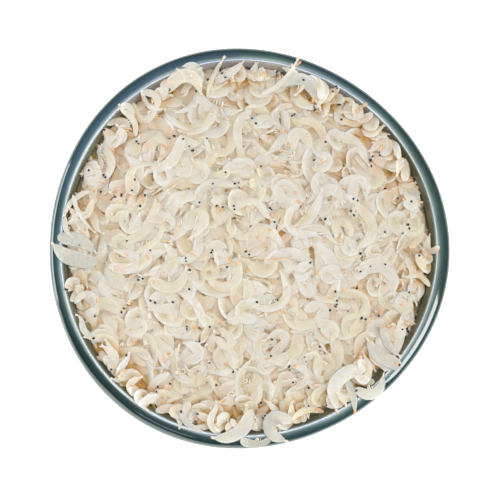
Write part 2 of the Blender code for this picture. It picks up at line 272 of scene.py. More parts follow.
# Camera and light
CAMERA_DISTANCE = 1.0
CAMERA_TILT = math.radians(4.5)
CAMERA_BEARING = math.radians(230)
PHOTO_PX = 500
RIM_RADIUS_PX = 201.2
RIM_MIDDLE_PX = (247.7, 247.7)
FRAME_WIDTH = PHOTO_PX * RIM_RADIUS / RIM_RADIUS_PX  # the photograph's width at the rim
SENSOR = 36.0
DIM_BEARING = 228  # the studio is darker on this side
STUDIO_STRENGTH = 0.47
FILM_GAMMA = 1.12  # the photograph's soft, open shadows
FLOOR_SIZE = 3.0
FLOOR_GLOW = 0.6  # the card is lit from behind, as under a cut-out picture
PLAIN_SHADE_SIZE = 2.5 * MM

# Softboxes: name, place and size in metres, and watts
SOFTBOXES = (
    ("Overhead softbox", (0.0, 0.0, 1.5), (0.8, 0.8), 22.2),
    ("Side softbox", (0.88, -0.41, 0.92), (0.5, 0.4), 9.5),
    ("Window", (-1.4, 0.2, 0.3), (1.0, 0.5), 16.0),
    ("Strip light", (-0.35, -0.83, 1.07), (0.35, 0.06), 0.4),
)


def srgb(code):
    """Linear colour of an sRGB hex value."""
    values = [int(code[i:i + 2], 16) / 255 for i in (1, 3, 5)]
    linear = [v / 12.92 if v <= 0.04045 else ((v + 0.055) / 1.055) ** 2.4 for v in values]
    return (*linear, 1.0)


def set_inputs(tree, node, inputs):
    """Set inputs by name, or in the order in which the editor shows them. Each is a value,
    or a socket or a whole node to link from."""
    if isinstance(inputs, tuple):
        inputs = dict(zip([i for i, socket in enumerate(node.inputs) if socket.enabled], inputs))
    for key, value in inputs.items():
        if isinstance(value, bpy.types.Node):
            value = next(socket for socket in value.outputs if socket.enabled)
        if isinstance(value, bpy.types.NodeSocket):
            tree.links.new(value, node.inputs[key])
        else:
            node.inputs[key].default_value = value


def add_node(tree, kind, inputs=(), **settings):
    """Add a shader node with its settings, values and links."""
    node = tree.nodes.new("ShaderNode" + kind)
    for name, value in settings.items():
        setattr(node, name, value)
    set_inputs(tree, node, inputs)
    return node


def set_stops(ramp, stops):
    """Give a colour ramp its stops, each a position and a colour."""
    elements = ramp.color_ramp.elements
    while len(elements) < len(stops):
        elements.new(1.0)
    for element, (position, colour) in zip(elements, stops):
        element.position = position
        element.color = srgb(colour)
    return ramp


def new_material(name):
    """A material, with its node tree and its Principled shader."""
    mat = bpy.data.materials.new(name)
    mat.use_nodes = True
    return mat, mat.node_tree, mat.node_tree.nodes["Principled BSDF"]


def mesh_of(name, bm):
    """Turn a bmesh into a mesh."""
    mesh = bpy.data.meshes.new(name)
    bm.to_mesh(mesh)
    bm.free()
    return mesh


def new_object(name, data):
    """An object of a mesh, a camera or a light, in the scene."""
    thing = bpy.data.objects.new(name, data)
    bpy.context.scene.collection.objects.link(thing)
    return thing


def add_piece(name, bm, material, node=None):
    """Turn a bmesh into a smooth piece that rides on the body."""
    mesh = mesh_of(name, bm)
    mesh.shade_smooth()
    mesh.materials.append(material)
    piece = new_object(name, mesh)
    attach(piece, BODY)
    if node:
        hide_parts(node)
    return piece


def lobes(bearing, height):
    """How much wider or narrower the bowl is at a bearing and a height."""
    share = min(max(height / BOWL_HEIGHT, 0), 1)
    fade = share * share * (3 - 2 * share)
    return 1 + LOBE_DEPTH * fade * math.cos(LOBE_COUNT * (bearing + LOBE_TURN))


def bowl_axis():
    """Where the axis stands so that the middle of the rim's box is the origin."""
    bearings = [math.tau * i / BOWL_SEGMENTS for i in range(BOWL_SEGMENTS)]
    rim = [(RIM_RADIUS * lobes(b, BOWL_HEIGHT), b) for b in bearings]
    across = [radius * math.cos(b) for radius, b in rim]
    along = [radius * math.sin(b) for radius, b in rim]
    return Vector((-(max(across) + min(across)) / 2, -(max(along) + min(along)) / 2, 0))


AXIS = bowl_axis()


def towards(bearing):
    """The level direction of a bearing in degrees."""
    angle = math.radians(bearing)
    return Vector((math.cos(angle), math.sin(angle), 0))


def polar(point):
    """Bearing about the bowl's axis, and distance with the rim's lobes taken out."""
    flat = point - AXIS
    bearing = math.atan2(flat.y, flat.x)
    return bearing, flat.xy.length / lobes(bearing, point.z)


def wall_curve(foot_radius, foot_z, top_radius, top_z, steps):
    """Points of a rounded wall from its foot up to its top."""
    points = []
    for i in range(steps + 1):
        turn = math.pi / 2 * i / steps
        out = math.sin(turn) ** (2 / WALL_ROUNDNESS)
        down = max(math.cos(turn), 0) ** (2 / WALL_ROUNDNESS)
        radius = foot_radius + (top_radius - foot_radius) * out
        points.append((radius, top_z - (top_z - foot_z) * down))
    return points


def smooth_section(points, steps):
    """A smooth curve through points (Catmull-Rom), with steps between two of them."""
    ends = [points[0], *points, points[-1]]
    curve = []
    for before, start, end, after in zip(ends, ends[1:], ends[2:], ends[3:]):
        for i in range(steps):
            t = i / steps
            curve.append(tuple(
                0.5 * (2 * b + (c - a) * t + (2 * a - 5 * b + 4 * c - d) * t * t
                       + (3 * b - a - 3 * c + d) * t ** 3)
                for a, b, c, d in zip(before, start, end, after)))
    return [*curve, points[-1]]


def rim_section():
    """The rim from the top of the inner wall over the crest to the lip."""
    inner_radius = RIM_RADIUS - RIM_WIDTH
    named = [(inner_radius + out * MM, BOWL_HEIGHT - drop * MM) for out, drop in RIM_SECTION]
    return smooth_section(named, RIM_STEPS)


RIM = rim_section()


def between(points, at):
    """The value at a place, from points that are each a place and a value."""
    for (start, low), (end, high) in zip(points, points[1:]):
        if start <= at <= end:
            return low + (high - low) * (at - start) / (end - start)
    return points[-1][1]


def turn_profile(profile, segments):
    """Spin a profile of (radius, z) points about the bowl's axis, lobes included. Its
    layer holds how far along the profile each point lies from the crest, in mm."""
    bm = bmesh.new()
    section = bm.verts.layers.float.new("section")
    crest = max(range(len(profile)), key=lambda i: profile[i][1])
    travelled = [0.0]
    for (r0, z0), (r1, z1) in zip(profile, profile[1:]):
        travelled.append(travelled[-1] + math.hypot(r1 - r0, z1 - z0))
    verts = []
    for (radius, z), distance in zip(profile, travelled):
        vert = bm.verts.new((radius, 0, z))
        vert[section] = (distance - travelled[crest]) / MM
        verts.append(vert)
    edges = [bm.edges.new(pair) for pair in zip(verts, verts[1:])]
    bmesh.ops.spin(bm, geom=verts + edges, axis=(0, 0, 1), cent=(0, 0, 0),
                   angle=math.tau, steps=segments, use_merge=True)
    bmesh.ops.remove_doubles(bm, verts=bm.verts, dist=MERGE_DISTANCE)
    for vert in bm.verts:
        factor = lobes(math.atan2(vert.co.y, vert.co.x), vert.co.z)
        inner = min((RIM_RADIUS - vert.co.xy.length) / (RIM_WIDTH / 2), 1)
        factor -= (factor - 1) / LOBE_DEPTH * RIM_WANDER * inner / RIM_RADIUS
        vert.co = Vector((vert.co.x * factor, vert.co.y * factor, vert.co.z)) + AXIS
    bmesh.ops.recalc_face_normals(bm, faces=bm.faces)
    return bm


def build_bowl():
    """The bowl, from the middle of its floor up the wall, over the rim and round the foot."""
    inside = wall_curve(0, FLOOR_THICKNESS, *RIM[0], WALL_STEPS)
    outside = wall_curve(FOOT_RADIUS, FOOT_HEIGHT, RIM_RADIUS - LIP_UNDERCUT, LIP_BOTTOM, WALL_STEPS)
    foot_inner = FOOT_RADIUS - FOOT_WIDTH
    foot = [
        (FOOT_RADIUS, FOOT_ROUND),
        (FOOT_RADIUS - FOOT_ROUND, 0),
        (foot_inner + FOOT_ROUND, 0),
        (foot_inner, FOOT_ROUND),
        (foot_inner - FOOT_ROUND, FOOT_RECESS - FOOT_ROUND),
        (0, FOOT_RECESS),
    ]
    bm = turn_profile(inside + RIM[1:] + outside[::-1] + foot, BOWL_SEGMENTS)
    add_piece("bowl_glazed", bm, glaze_material(), node="bowl")


def tint_side(tree, place, share, colour, bearing, rise, fall, tint, strength):
    """Mix a tint into one band of the glaze, on the side of the bowl at a bearing."""
    started, ended = (add_node(tree, "MapRange", (share, *edge)) for edge in (rise, fall))
    band = add_node(tree, "Math", (started, ended), operation="SUBTRACT")
    out = add_node(tree, "VectorMath", (place, towards(bearing)), operation="DOT_PRODUCT")
    side = add_node(tree, "MapRange", (out, *TINT_SIDE, 0.0, strength))
    factor = add_node(tree, "Math", (side, band), operation="MULTIPLY")
    return add_node(tree, "Mix", (factor, colour, srgb(tint)), data_type="RGBA")


def glaze_material():
    """Reactive glaze on thrown stoneware: pools dark teal, with a pale band on the crest that is painted
    reflection of the overhead light.
    """
    mat, tree, shader = new_material("Reactive teal glaze")
    place = add_node(tree, "TexCoord").outputs["Object"]
    section = add_node(tree, "Attribute", attribute_name="section").outputs["Fac"]
    drift = add_node(tree, "TexNoise", {"Vector": place, "Scale": 1 / DRIFT_SIZE, "Detail": 2.0})
    shift = add_node(tree, "Math", (drift, GLAZE_DRIFT, -GLAZE_DRIFT / 2), operation="MULTIPLY_ADD")
    moved = add_node(tree, "Math", (section, shift), operation="ADD")
    share = add_node(tree, "MapRange", (moved, *GLAZE_STRETCH))
    colour = set_stops(add_node(tree, "ValToRGB", {"Fac": share}), (
        (0.00, "#65624E"),  # inner wall
        (0.240, "#62604A"),
        (0.285, "#787B6F"),
        (0.315, "#7F8A91"),  # painted reflection: the pale band on the crest where the overhead light shows
        (0.365, "#7F8A91"),
        (0.388, "#73837C"),
        (0.415, "#4D6356"),
        (0.460, "#304B49"),
        (0.530, "#1A3234"),  # pool below the crest
        (0.620, "#1F3531"),
        (0.670, "#485A4D"),
        (0.730, "#808979"),
        (1.000, "#284442"),  # outer wall
    ))
    for tint in GLAZE_TINTS:
        colour = tint_side(tree, place, share, colour, *tint)
    blotch = add_node(tree, "TexNoise", {"Vector": place, "Scale": 1 / BLOTCH_SIZE, "Detail": 5.0})
    cast = set_stops(add_node(tree, "ValToRGB", {"Fac": blotch}), (
        (0.36, "#8E9C8C"), (0.5, "#FFFFFF"), (0.64, "#A6B8DC")))
    blotched = add_node(tree, "Mix", (0.55, colour, cast), data_type="RGBA", blend_type="MULTIPLY")
    set_inputs(tree, shader, {"Base Color": blotched, "Roughness": 0.08, "IOR": 1.55})
    return mat


def heap_height(radius):
    """Level of the shrimp's tops at a distance from the axis."""
    edge = RIM_RADIUS - RIM_WIDTH
    fall = (HEAP_RISE + HEAP_EDGE_DROP) * (radius / edge) ** HEAP_SLOPE
    return BOWL_HEIGHT + HEAP_RISE - fall


def wall_gap(bearing):
    """How much further than elsewhere the heap keeps from the wall at a bearing."""
    gap = 0.0
    for middle, half, widest in WALL_GAPS:
        away = abs((math.degrees(bearing) - middle + 180) % 360 - 180)
        gap = max(gap, widest * min(2 * max(1 - away / half, 0), 1))
    return gap * MM


def core_height(bearing, radius):
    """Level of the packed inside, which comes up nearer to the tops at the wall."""
    near_wall = (radius / (RIM_RADIUS - RIM_WIDTH)) ** CORE_EDGE_POWER
    rise = CORE_DEPTH - CORE_EDGE_DEPTH - 2 * wall_gap(bearing)
    return heap_height(radius) - CORE_DEPTH + rise * near_wall


def build_core():
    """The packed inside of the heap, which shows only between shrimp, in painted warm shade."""
    edge = RIM_RADIUS - RIM_WIDTH - CORE_GAP
    radii = [edge * i / CORE_RINGS for i in range(CORE_RINGS + 1)]
    dome = [(radius, core_height(CORE_BEARING, radius)) for radius in radii]
    wall = wall_curve(0, FLOOR_THICKNESS + CORE_GAP, edge, BOWL_HEIGHT - CORE_GAP, 2 * WALL_STEPS)
    side = [point for point in wall if point[1] < dome[-1][1] - CORE_WALL_DROP]
    bm = turn_profile(dome + side[::-1], CORE_SEGMENTS)
    draw = random.Random(HEAP_SEED)
    near_wall = bm.verts.layers.float.new("wall")
    starts, full = CORE_SHADE
    for vert in bm.verts:
        bearing, reach = polar(vert.co)
        vert[near_wall] = min(max((reach - starts) / (full - starts), 0), 1)
        if vert.co.z > core_height(CORE_BEARING, reach) - CORE_TOP_BAND:
            vert.co.z = core_height(bearing, reach) + draw.uniform(-CORE_RELIEF, CORE_RELIEF)
    bmesh.ops.smooth_vert(bm, verts=bm.verts, factor=0.3, use_axis_x=False, use_axis_y=False,
                          use_axis_z=True)
    add_piece("heap_core", bm, core_material(), node="shrimp_heap")


def core_material():
    """Packed shrimp between those on top, dull, coloured deep tan to dark brown as painted shade."""
    mat, tree, shader = new_material("Packed shrimp in painted shade")
    place = add_node(tree, "TexCoord").outputs["Object"]
    patches = add_node(tree, "TexNoise", {"Vector": place, "Scale": 1 / CORE_PATCH, "Detail": 3.0})
    # painted shade: dark brown to tan patches for the gaps between the shrimp on top
    colour = set_stops(add_node(tree, "ValToRGB", {"Fac": patches}), (
        (0.38, "#48220C"), (0.46, "#8A5A2A"), (0.56, "#C0944E"), (0.68, "#DEBC7A")))
    wall = add_node(tree, "Attribute", attribute_name="wall").outputs["Fac"]
    # painted shade: dark olive of the wall's shade on the core next to the wall
    shaded = add_node(tree, "Mix", (wall, colour, srgb("#5E563E")), data_type="RGBA")
    set_inputs(tree, shader, {"Base Color": shaded, "Roughness": 0.8})
    return mat


def shell_pattern(tree, place, size):
    """A place on the shell, counted in a pattern's sizes along and across the body."""
    along, across, tone = place
    steps = (
        (along, SHRIMP_LENGTH / (size[0] * MM)),
        (across, half_width(0.5) * SHRIMP_LENGTH / (size[1] * MM)),
        (tone, PATTERN_SHIFT),
    )
    return add_node(tree, "CombineXYZ", tuple(
        add_node(tree, "Math", step, operation="MULTIPLY") for step in steps))


def shell_relief(tree, place):
    """The low rings of the shell, and the wrinkles that drying leaves in it."""
    turns = math.tau * SHRIMP_LENGTH / (RING_SPACING * MM)
    rings = add_node(tree, "Math", (place[0], turns), operation="MULTIPLY")
    ridge = add_node(tree, "Math", (rings,), operation="SINE")
    folds = shell_pattern(tree, place, FOLD_SIZE)
    wrinkles = add_node(tree, "TexNoise", {"Vector": folds, "Scale": 1.0, "Detail": 3.0})
    relief = add_node(tree, "Math", (ridge, 0.08, wrinkles), operation="MULTIPLY_ADD")
    return add_node(tree, "Bump", {"Height": relief, "Strength": 0.4, "Distance": 0.35 * MM})


def shell_material():
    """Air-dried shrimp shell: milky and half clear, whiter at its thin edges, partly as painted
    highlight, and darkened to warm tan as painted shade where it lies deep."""
    mat, tree, shader = new_material("Air-dried shrimp shell")
    along, across, tone, depth, blush, gut = (
        add_node(tree, "Attribute", attribute_name=name).outputs["Fac"] for name in SHELL_LAYERS)
    colour = set_stops(add_node(tree, "ValToRGB", {"Fac": tone}), (
        (0.00, "#D4D6D4"),  # wet-looking, clear
        (0.10, "#ECEDEC"),  # half clear
        (0.20, "#F2F2F0"),
        (0.35, "#F6F8FA"),  # milky white
        (0.60, "#F5F6F5"),
        (0.78, "#F5F4EC"),  # cream
        (0.92, "#F3F1E2"),  # pale straw
        (1.00, "#F6EEE4"),  # faint peach
    ))
    place = (along, across, tone)
    cloudy = shell_pattern(tree, place, CLOUD_SIZE)
    clouds = add_node(tree, "TexNoise", {"Vector": cloudy, "Scale": 1.0, "Detail": 4.0, "Roughness": 0.6})
    patch = add_node(tree, "MapRange", (clouds, 0.40, 0.62))
    belly = add_node(tree, "MapRange", (across, 0.9, -0.9, 0.4, 0.95))
    warm = add_node(tree, "Math", (patch, belly), operation="MULTIPLY")
    stringy = shell_pattern(tree, place, FIBRE_SIZE)
    fibres = add_node(tree, "TexNoise", {"Vector": stringy, "Scale": 1.0, "Detail": 4.0, "Distortion": 0.6})
    fibre = add_node(tree, "MapRange", (fibres, 0.48, 0.66, 0.0, 0.5))
    off_middle = add_node(tree, "Math", (across,), operation="ABSOLUTE")
    edge = add_node(tree, "MapRange", (off_middle, 0.5, 0.9, 0.0, 0.2))
    painted_shade = add_node(tree, "Math", (depth, 1.5), operation="POWER")
    for share, tint in (
            (warm, "#F1EBD8"),  # warmer in its clouds, most at the belly
            (fibre, "#E8DFC4"),
            # whiter thin edges: partly the thin shell, partly painted highlight
            (edge, "#FFFFFF"),
            (blush, "#F6CFB2"),  # left of the pink of the head
            (gut, "#E6DAA4"),  # straw where the gut shows through
            # painted shade: shells that lie deep below those around them darken to warm tan
            (painted_shade, "#E8BE60")):
        colour = add_node(tree, "Mix", (share, colour, srgb(tint)), data_type="RGBA")
    set_inputs(tree, shader, {
        "Base Color": colour,
        "Normal": shell_relief(tree, place),
        "Roughness": 0.7,
        "IOR": 1.3,
    })
    let_light_through(tree, shader, colour, 0.70)
    return mat


def let_light_through(tree, shader, colour, share):
    """A papery shell passes part of its light on to what lies below it."""
    through = add_node(tree, "BsdfTranslucent", {"Color": colour})
    both = add_node(tree, "MixShader", (share, shader, through))
    set_inputs(tree, tree.nodes["Material Output"], {"Surface": both})


def plain_material(name, shades, roughness, passing=0.0):
    """One finish with a slight change of shade, for parts a pixel or two wide."""
    mat, tree, shader = new_material(name)
    place = add_node(tree, "TexCoord").outputs["Object"]
    shade = add_node(tree, "TexNoise", {"Vector": place, "Scale": 1 / PLAIN_SHADE_SIZE})
    mixed = add_node(tree, "Mix", (shade, srgb(shades[0]), srgb(shades[1])), data_type="RGBA")
    set_inputs(tree, shader, {"Base Color": mixed, "Roughness": roughness})
    if passing:
        let_light_through(tree, shader, mixed, passing)
    return mat


def grown_cage(name, widths, sides):
    """A straight tapering form of length 1 along +X, grown by extruding its end."""
    bm = bmesh.new()
    (first, first_width), (second, second_width) = widths[:2]
    to_x = Matrix.Translation(((first + second) / 2, 0, 0)) @ Matrix.Rotation(math.pi / 2, 4, "Y")
    bmesh.ops.create_cone(bm, cap_ends=True, segments=sides, radius1=first_width,
                          radius2=second_width, depth=second - first, matrix=to_x)
    end = max(bm.faces, key=lambda face: face.calc_center_median().x)
    width = second_width
    for along, next_width in widths[2:]:
        grown = bmesh.ops.extrude_face_region(bm, geom=[end])
        bmesh.ops.delete(bm, geom=[end], context="FACES_ONLY")
        end = next(item for item in grown["geom"] if isinstance(item, bmesh.types.BMFace))
        for vert in end.verts:
            vert.co.y *= next_width / width
            vert.co.z *= next_width / width
            vert.co.x = along
        width = next_width
    bmesh.ops.recalc_face_normals(bm, faces=bm.faces)
    return mesh_of(name, bm)


def eye_cage():
    """A ball of few faces, of radius 1."""
    bm = bmesh.new()
    bmesh.ops.create_uvsphere(bm, u_segments=8, v_segments=5, radius=1)
    return mesh_of("Eye cage", bm)


def add_copy(bm, cage, place, values=()):
    """Add a copy of a cage, each point put in its place, with its layers' values."""
    first = len(bm.verts)
    bm.from_mesh(cage)
    bm.verts.ensure_lookup_table()
    for vert in bm.verts[first:]:
        for layer, value in values:
            vert[layer] = value(vert.co) if callable(value) else value
        vert.co = place(vert.co)


def half_width(along):
    """Half the body's width at a share of its length."""
    return between(BODY_WIDTHS, along)


class Shrimp:
    """A bent, flattened body and the place where it lies."""
    tone = flush = blush = gut = shown = 0.0
    ruffle = (0.0, 0.0)

    def __init__(self, kind, length, breadth, curl, bend_back, side, bend_at, bend_over):
        self.kind = kind
        self.length = length
        self.breadth = breadth
        self.side = side
        self.line = []
        self.sag = [0.0] * (PATH_STEPS + 1)
        self.place = Matrix()
        point = Vector((0, 0, 0))
        for i in range(PATH_STEPS + 1):
            share = i / PATH_STEPS
            t = min(max((share - bend_at) / bend_over + 0.5, 0), 1)
            back = max((share - BACK_FROM) / (1 - BACK_FROM), 0)
            turned = EVEN_BEND * t + (1 - EVEN_BEND) * t * t * (3 - 2 * t)
            heading = side * math.radians(curl * turned + bend_back * back * back)
            self.line.append([point.copy(), heading])
            point += Vector((math.cos(heading), math.sin(heading), 0)) * (length / PATH_STEPS)
        middle = sum((p for p, _h in self.line), Vector()) / len(self.line)
        for entry in self.line:
            entry[0] -= middle

    def point(self, along, across, up):
        """A point at a share along the body, and shares of its half width and thickness."""
        step = min(max(along, 0), 0.9999) * PATH_STEPS
        i = int(step)
        t = step - i
        here, heading = self.line[i]
        there, next_heading = self.line[i + 1]
        angle = heading + (next_heading - heading) * t
        half = half_width(along) * self.length * self.breadth
        reach = across * half
        bend = abs(next_heading - heading) * PATH_STEPS / self.length
        if across < 0 and bend * half > TIGHTEST:
            reach = across * TIGHTEST / bend
        flat = here.lerp(there, t)
        flat = flat + Vector((-math.sin(angle), math.cos(angle), 0)) * (reach * -self.side)
        sag = self.sag[i] + (self.sag[i + 1] - self.sag[i]) * t
        slant, turn = self.ruffle
        rise = across * half * slant * math.sin(math.tau * along + turn)
        flat.z = sag + rise + up * half * FLATNESS / self.breadth
        return self.place @ flat

    def frame_at(self, along, across, up):
        """A place on the body, with X towards the tail and Y towards the back."""
        origin = self.point(along, across, up)
        ahead = self.point(along + 0.04, across, up) - self.point(along - 0.04, across, up)
        ahead.normalize()
        back = (self.point(along, across + 1, up) - origin).normalized()
        out = ahead.cross(back).normalized()
        turn = Matrix((ahead, out.cross(ahead), out)).transposed().to_4x4()
        return Matrix.Translation(origin) @ turn


class Level:
    """Height of the heap's top over a square grid of cells."""

    def __init__(self):
        self.count = int(2 * GRID_REACH / CELL) + 1
        self.rows = []
        for j in range(self.count):
            row = []
            for i in range(self.count):
                point = Vector((i * CELL - GRID_REACH, j * CELL - GRID_REACH, BOWL_HEIGHT))
                bearing, reach = polar(point)
                if reach < RIM[0][0]:
                    row.append(core_height(bearing, reach))
                else:
                    row.append(between(RIM, reach))
            self.rows.append(row)

    def cell(self, x, y):
        i = round((x + GRID_REACH) / CELL)
        j = round((y + GRID_REACH) / CELL)
        return min(max(i, 0), self.count - 1), min(max(j, 0), self.count - 1)

    def at(self, x, y):
        i, j = self.cell(x, y)
        return self.rows[j][i]

    def smoothed(self):
        """A copy with each cell the mean of those around it."""
        copy = Level()
        copy.rows = self.rows
        for _way in range(2):
            means = []
            for row in copy.rows:
                near = [row[max(i - SMOOTH_CELLS, 0):i + SMOOTH_CELLS + 1] for i in range(self.count)]
                means.append([sum(cells) / len(cells) for cells in near])
            copy.rows = [list(row) for row in zip(*means)]
        return copy

    def raise_to(self, x, y, z):
        i, j = self.cell(x, y)
        if self.rows[j][i] < z:
            self.rows[j][i] = z


SAMPLES = [(along, across) for along in (0.02, 0.14, 0.28, 0.42, 0.56, 0.70, 0.84, 0.98)
           for across in (-0.85, 0.0, 0.85)]


def fit_slope(level, points):
    """Slope in x and y of the heap under a body."""
    n = len(points)
    mid_x = sum(p.x for p in points) / n
    mid_y = sum(p.y for p in points) / n
    heights = [level.at(p.x, p.y) for p in points]
    mid_z = sum(heights) / n
    stiff = n * SLOPE_STIFFNESS ** 2
    xx = yy = stiff
    xy = xz = yz = 0.0
    for p, z in zip(points, heights):
        dx, dy, dz = p.x - mid_x, p.y - mid_y, z - mid_z
        xx += dx * dx
        yy += dy * dy
        xy += dx * dy
        xz += dx * dz
        yz += dy * dz
    det = xx * yy - xy * xy
    return (xz * yy - yz * xy) / det, (yz * xx - xz * xy) / det


def lay(level, shrimp, x, y, heading, roll, firm=0.5):
    """Rest a shrimp on the heap: tilt it to the surface, let it sag and lift it clear."""
    spot = Matrix.Translation((x, y, 0))
    turned = Matrix.Rotation(heading, 4, "Z")
    shrimp.sag = [0.0] * (PATH_STEPS + 1)
    shrimp.place = spot @ turned
    points = [shrimp.point(along, across, 0) for along, across in SAMPLES]
    slope_x, slope_y = fit_slope(level, points)
    normal = Vector((-slope_x, -slope_y, 1)).normalized()
    tilt = Vector((0, 0, 1)).rotation_difference(normal).to_matrix().to_4x4()
    long_way = shrimp.line[-1][0] - shrimp.line[0][0]
    rolled = Matrix.Rotation(roll, 4, long_way.normalized())
    shrimp.place = spot @ tilt @ turned @ rolled
    gaps = []
    for i in range(PATH_STEPS + 1):
        middle = shrimp.place @ shrimp.line[i][0]
        gaps.append(level.at(middle.x, middle.y) - middle.z)
    mean = sum(gaps) / len(gaps)
    raw = [min(max((gap - mean) * SAG_SHARE, -SAG_MOST), SAG_MOST) for gap in gaps]
    for i in range(PATH_STEPS + 1):
        near = raw[max(i - 2, 0):i + 3]
        shrimp.sag[i] = sum(near) / len(near)
    needs = []
    hard = -1.0
    for along, across in SAMPLES:
        under = shrimp.point(along, across, -0.5)
        need = level.at(under.x, under.y) - under.z
        needs.append(need)
        _bearing, reach = polar(Vector((under.x, under.y, BOWL_HEIGHT)))
        if reach > RIM[0][0]:
            hard = max(hard, need + RIM_CLEARANCE)
    needs.sort()
    lift = max(needs[int(firm * (len(needs) - 1))], hard)
    shrimp.place = Matrix.Translation((0, 0, lift)) @ shrimp.place


def inside_wall(shrimp, reach_limit):
    """Whether all of a shrimp lies inside the rim's inner edge."""
    for along, across in SAMPLES:
        point = shrimp.point(along, across, 0)
        point.z = BOWL_HEIGHT
        bearing, reach = polar(point)
        if reach > reach_limit - wall_gap(bearing):
            return False
    return True


def stands_proud(shrimp):
    """How far a shrimp's highest point stands above the dome."""
    most = -1.0
    for along, across in SAMPLES:
        point = shrimp.point(along, 1.2 * across, 1 - abs(across))
        flat = Vector((point.x, point.y, BOWL_HEIGHT))
        most = max(most, point.z - heap_height(polar(flat)[1]))
    return most


def settle(level, shrimp):
    """Raise the heap's level over a shrimp that has been laid."""
    steps = int(shrimp.length / SETTLE_STEP)
    for i in range(steps + 1):
        along = i / steps
        wide = half_width(along) * shrimp.length * shrimp.breadth
        count = max(int(wide / SETTLE_STEP), 1)
        for k in range(-count, count + 1):
            across = k / count
            top = shrimp.point(along, across, math.sqrt(max(1 - across * across, 0)))
            level.raise_to(top.x, top.y, top.z)


def draw_shrimp(draw, size=1.0):
    """A shrimp of a drawn kind and size."""
    pick = draw.random()
    for kind, (share, least, most, bend_back, shortest, longest, broad) in CURL_KINDS.items():
        if pick < share:
            break
        pick -= share
    length = size * SHRIMP_LENGTH * (1 + draw.uniform(-LENGTH_SPREAD, LENGTH_SPREAD))
    breadth = broad + draw.uniform(-BREADTH_SPREAD, BREADTH_SPREAD)
    shrimp = Shrimp(kind, length, breadth, draw.uniform(least, most), bend_back, draw.choice((-1, 1)),
                    draw.uniform(*BEND_AT), draw.uniform(shortest, longest))
    shrimp.ruffle = (draw.uniform(*RUFFLE), draw.uniform(0, math.tau))
    shrimp.tone = draw.uniform(0.1, 1)
    shrimp.flush = draw.random()
    shrimp.blush = draw.choice((0, 0, 0, 0, 0, 0, 0.4, 0.8))
    shrimp.gut = draw.choice((0, 0, 0, 0.4, 0.7, 1))
    return shrimp


def emptiest_place(level, draw):
    """Of a few drawn places, the one where the heap lies lowest against its dome."""
    best = None
    for _try in range(PLACE_TRIES):
        bearing = draw.uniform(0, math.tau)
        reach = PLACE_REACH * math.sqrt(draw.random())
        factor = lobes(bearing, BOWL_HEIGHT)
        x = AXIS.x + reach * factor * math.cos(bearing)
        y = AXIS.y + reach * factor * math.sin(bearing)
        near = [(x, y)] + [(x + PLACE_SPAN * math.cos(a), y + PLACE_SPAN * math.sin(a))
                           for a in PLACE_AROUND]
        mean = sum(level.at(*spot) for spot in near) / len(near)
        lack = heap_height(reach) - mean
        if best is None or lack > best[0]:
            best = (lack, x, y, bearing)
    return best[1:]


def shrimp_between(kind, head, tail, curl, bend_at, side, breadth):
    """A shrimp whose snout and tail lie at two places, with its own place and heading."""
    form = (breadth, curl, 0, side, bend_at, BEND_OVER)
    unit = Shrimp(kind, 1.0, *form)
    ends = unit.line[0][0], unit.line[-1][0]
    span = ends[1] - ends[0]
    wanted = tail - head
    heading = math.atan2(wanted.y, wanted.x) - math.atan2(span.y, span.x)
    length = wanted.length / span.length
    shrimp = Shrimp(kind, length, *form)
    turn = Matrix.Rotation(heading, 4, "Z")
    middle = (head + tail) / 2 - turn @ (ends[0] + ends[1]) * (length / 2)
    return shrimp, middle, heading


def polar_place(bearing, reach):
    """A place over the rim, from a bearing in degrees and a distance in mm."""
    return AXIS + towards(bearing) * reach * MM


def heap_up(level, draw):
    """Lay the loose shrimp one after another where the heap is lowest."""
    laid = []
    for _number in range(HEAP_SHRIMP):
        x, y, bearing = emptiest_place(level, draw)
        shrimp = draw_shrimp(draw)
        heading = draw.uniform(0, math.tau)
        roll = math.radians(draw.gauss(0, ROLL_SPREAD))
        if draw.random() < STEEP_SHARE:
            roll = math.radians(draw.choice((-1, 1)) * draw.uniform(*STEEP_ROLL))
        inward = Vector((-math.cos(bearing), -math.sin(bearing), 0)) * INWARD_STEP
        placed = False
        for _attempt in range(INWARD_TRIES):
            lay(level, shrimp, x, y, heading, roll, HEAP_FIRMNESS)
            if inside_wall(shrimp, HEAP_REACH):
                placed = True
                break
            x += inward.x
            y += inward.y
        if placed and stands_proud(shrimp) < PROUD_MOST:
            settle(level, shrimp)
            laid.append(shrimp)
    return laid


def fill_edge(level, draw):
    """Lay small shrimp round the edge of the heap, against the wall."""
    laid = []
    for i in range(EDGE_SHRIMP):
        bearing = math.tau * (i + draw.uniform(-0.5, 0.5)) / EDGE_SHRIMP
        shrimp = draw_shrimp(draw, EDGE_SIZE)
        heading = draw.uniform(0, math.tau)
        limit = EDGE_REACH + draw.uniform(*EDGE_WANDER) * MM
        reach = limit * lobes(bearing, BOWL_HEIGHT)
        for _attempt in range(EDGE_TRIES):
            place = AXIS + Vector((math.cos(bearing), math.sin(bearing), 0)) * reach
            lay(level, shrimp, place.x, place.y, heading, 0)
            if inside_wall(shrimp, limit):
                settle(level, shrimp)
                laid.append(shrimp)
                break
            reach -= EDGE_STEP
    return laid


def reach_over(level):
    """Lay the shrimp that reach over the rim."""
    draw = random.Random(HEAP_SEED + 6)
    laid = []
    for kind, head, tail, *form, tone in RIM_SHRIMP:
        shrimp, middle, heading = shrimp_between(kind, polar_place(*head), polar_place(*tail), *form)
        shrimp.tone = tone
        shrimp.flush = draw.random()
        shrimp.ruffle = (draw.uniform(*RIM_RUFFLE), draw.uniform(0, math.tau))
        lay(level, shrimp, middle.x, middle.y, heading, 0)
        settle(level, shrimp)
        laid.append(shrimp)
    return laid


